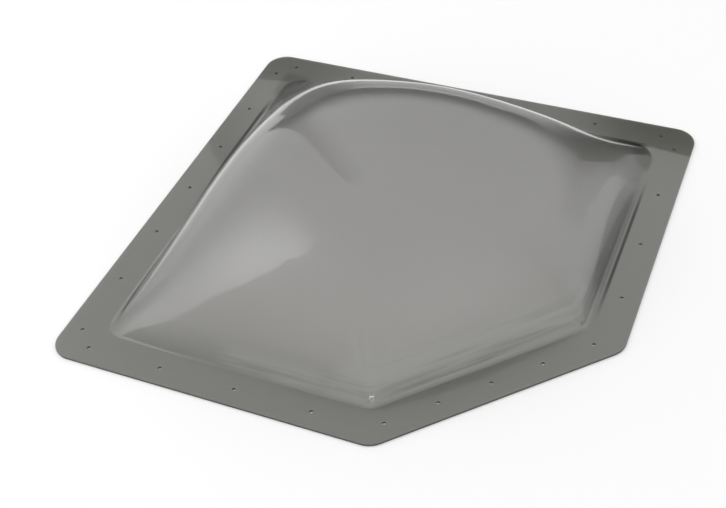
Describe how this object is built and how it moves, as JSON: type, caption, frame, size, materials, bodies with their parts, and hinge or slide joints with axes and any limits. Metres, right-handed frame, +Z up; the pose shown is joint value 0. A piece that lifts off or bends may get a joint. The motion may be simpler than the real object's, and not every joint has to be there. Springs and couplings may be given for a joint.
{
  "type": "recreational vehicle skylight",
  "caption": "Five-sided see-through roof skylight: one smoke-tinted sheet, flat at its drilled flange and blown up into a smooth bubble inside it.",
  "frame": {"origin": "on the flange's flat underside, at the centre of the square that the flange is cut from", "axes": "+Z up through the bubble's crown; X and Y along the flange's sides, with the cut-off corner towards +X and -Y"},
  "size_m": [0.7112, 0.7112, 0.1532],
  "materials": {
    "smoke_polycarbonate": "smooth gloss, smoke grey, see-through"
  },
  "bodies": {
    "root": {"skylight_dome": "smoke_polycarbonate"}
  },
  "joints": []
}
